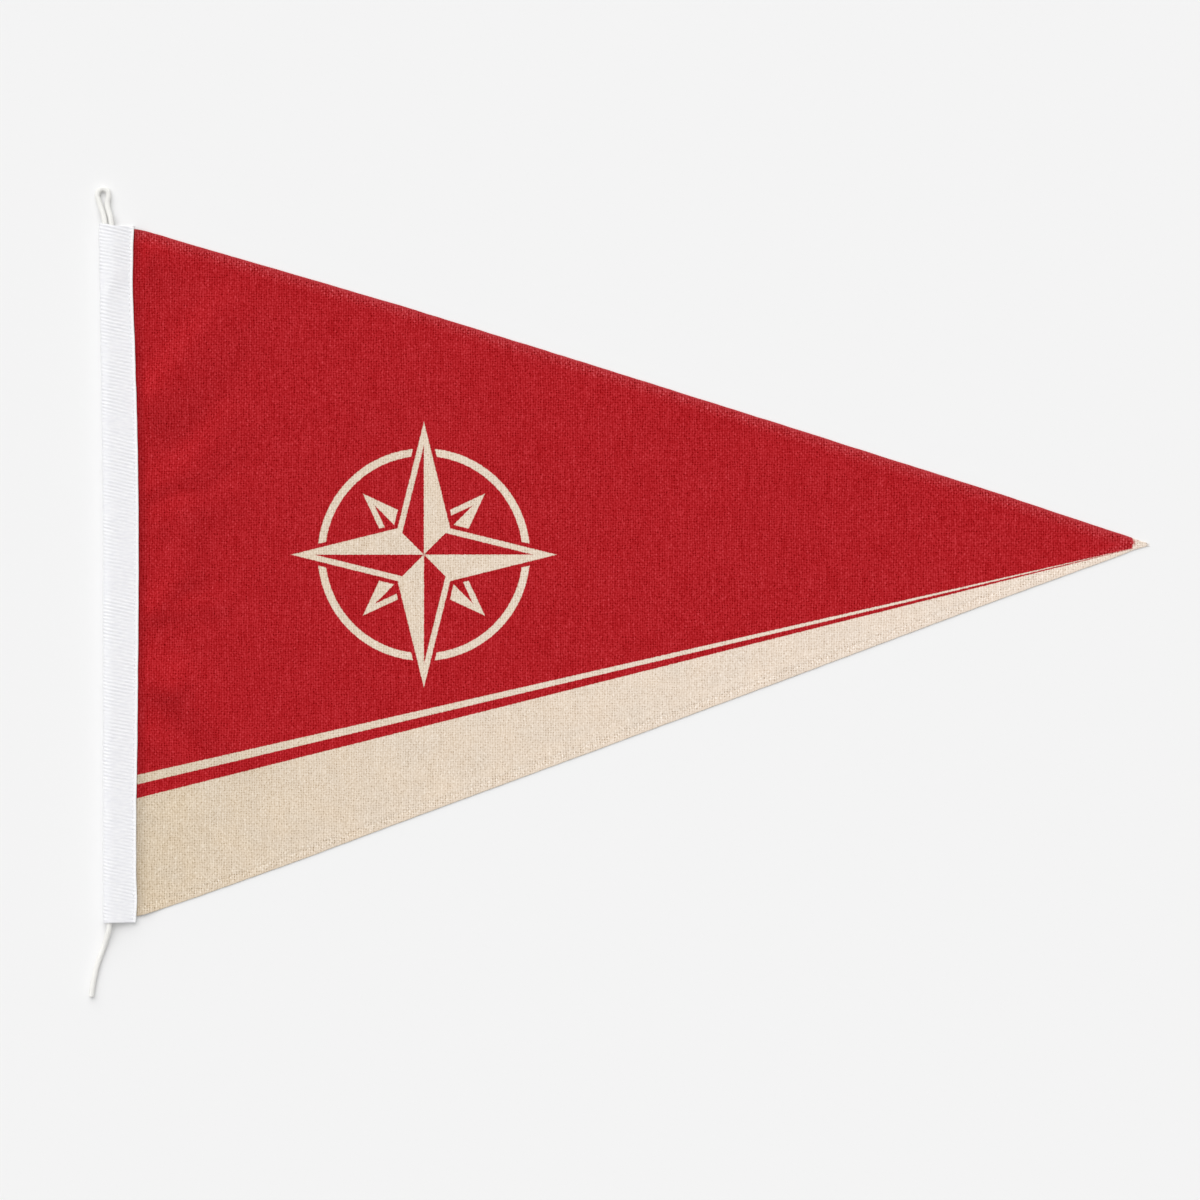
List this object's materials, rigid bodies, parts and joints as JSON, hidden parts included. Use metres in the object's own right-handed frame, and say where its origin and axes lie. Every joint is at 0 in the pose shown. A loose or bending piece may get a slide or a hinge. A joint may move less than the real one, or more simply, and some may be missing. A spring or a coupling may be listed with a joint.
{
  "type": "boat flag",
  "caption": "Triangular cloth boat pennant with a printed field, a folded white heading tape and a hoist cord that ends in a loop and a free tail.",
  "frame": {"origin": "on the surface that the flag lies on, under the middle of the box of the cloth and heading", "axes": "+X along the fly from the heading to the tip, +Y up the hoist, +Z away from the surface"},
  "size_m": [0.4546, 0.3479, 0.005],
  "materials": {
    "printed_bunting": "matte open plain weave, printed red and cream",
    "white_tape": "matte woven tape with fine cross ribs",
    "white_cord": "braided, slight sheen"
  },
  "bodies": {
    "root": {"cloth_panel": "printed_bunting", "heading_tape": "white_tape", "hoist_cord_loop": "white_cord", "hoist_cord_run": "white_cord"}
  },
  "joints": []
}
